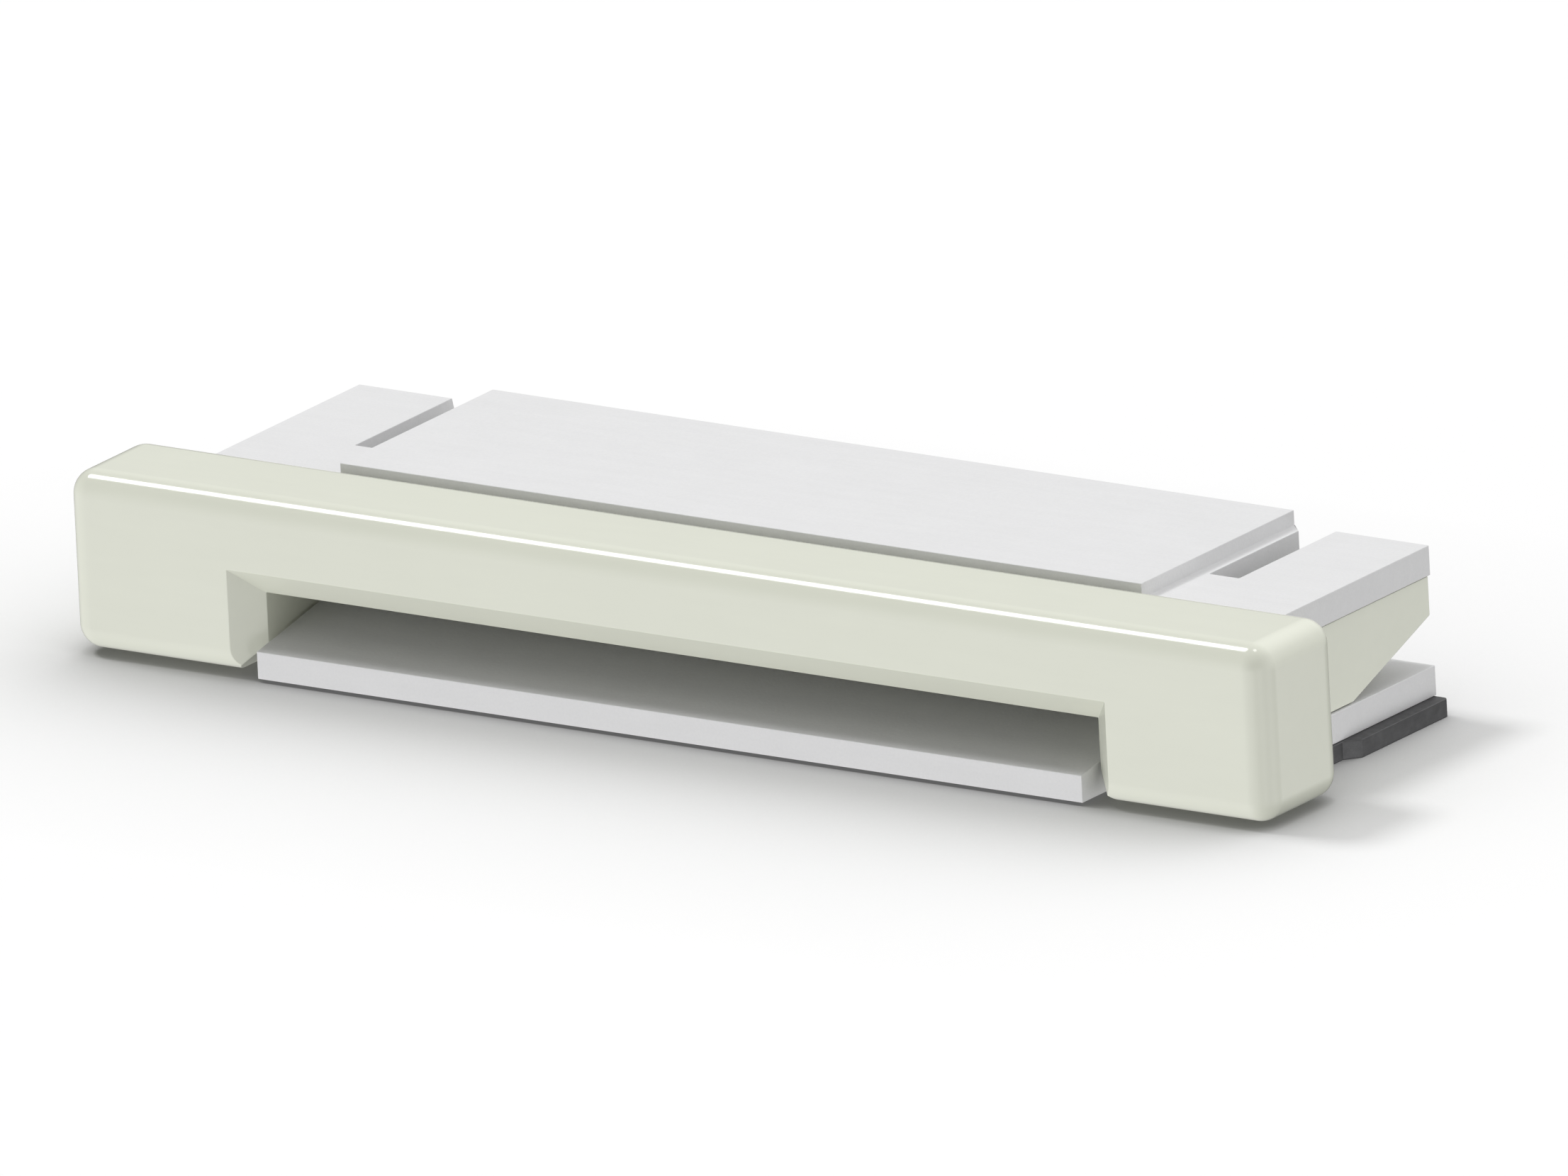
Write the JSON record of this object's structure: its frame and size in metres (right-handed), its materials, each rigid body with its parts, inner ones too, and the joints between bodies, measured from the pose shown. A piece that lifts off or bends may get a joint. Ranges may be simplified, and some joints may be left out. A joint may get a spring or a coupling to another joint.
{
  "type": "flat cable circuit board connector",
  "caption": "Low-profile right-angle board connector for flat flexible cable, with a sliding lock bar, fork contacts and side solder pegs.",
  "frame": {"origin": "on the board plane, at the centre of the connector's footprint box", "axes": "+X along the row of contacts, +Y to the rear where the solder feet come out, -Y out of the cable window, +Z away from the board"},
  "size_m": [0.0152, 0.005, 0.002],
  "materials": {
    "housing_plastic": "light grey moulded high-temperature plastic, matte",
    "slider_plastic": "ivory moulded plastic with a soft gloss",
    "peg_metal": "dark matte plating over stamped copper alloy",
    "contact_metal": "pale plated phosphor bronze, bright"
  },
  "bodies": {
    "body": {"housing": "housing_plastic", "solder_peg_left": "peg_metal", "solder_peg_right": "peg_metal", "contact_01": "contact_metal", "contact_02": "contact_metal", "contact_03": "contact_metal", "contact_04": "contact_metal", "contact_05": "contact_metal", "contact_06": "contact_metal", "contact_07": "contact_metal", "contact_08": "contact_metal", "contact_09": "contact_metal", "contact_10": "contact_metal", "contact_11": "contact_metal", "contact_12": "contact_metal", "contact_13": "contact_metal", "contact_14": "contact_metal", "contact_15": "contact_metal", "contact_16": "contact_metal", "contact_17": "contact_metal", "contact_18": "contact_metal", "contact_19": "contact_metal", "contact_20": "contact_metal"},
    "lock_slider": {"slider": "slider_plastic"}
  },
  "joints": [
    {"name": "slider_slide", "type": "slide", "parent": "body", "child": "lock_slider", "axis": [0, -1, 0], "range_m": [0, 0.0008]}
  ]
}
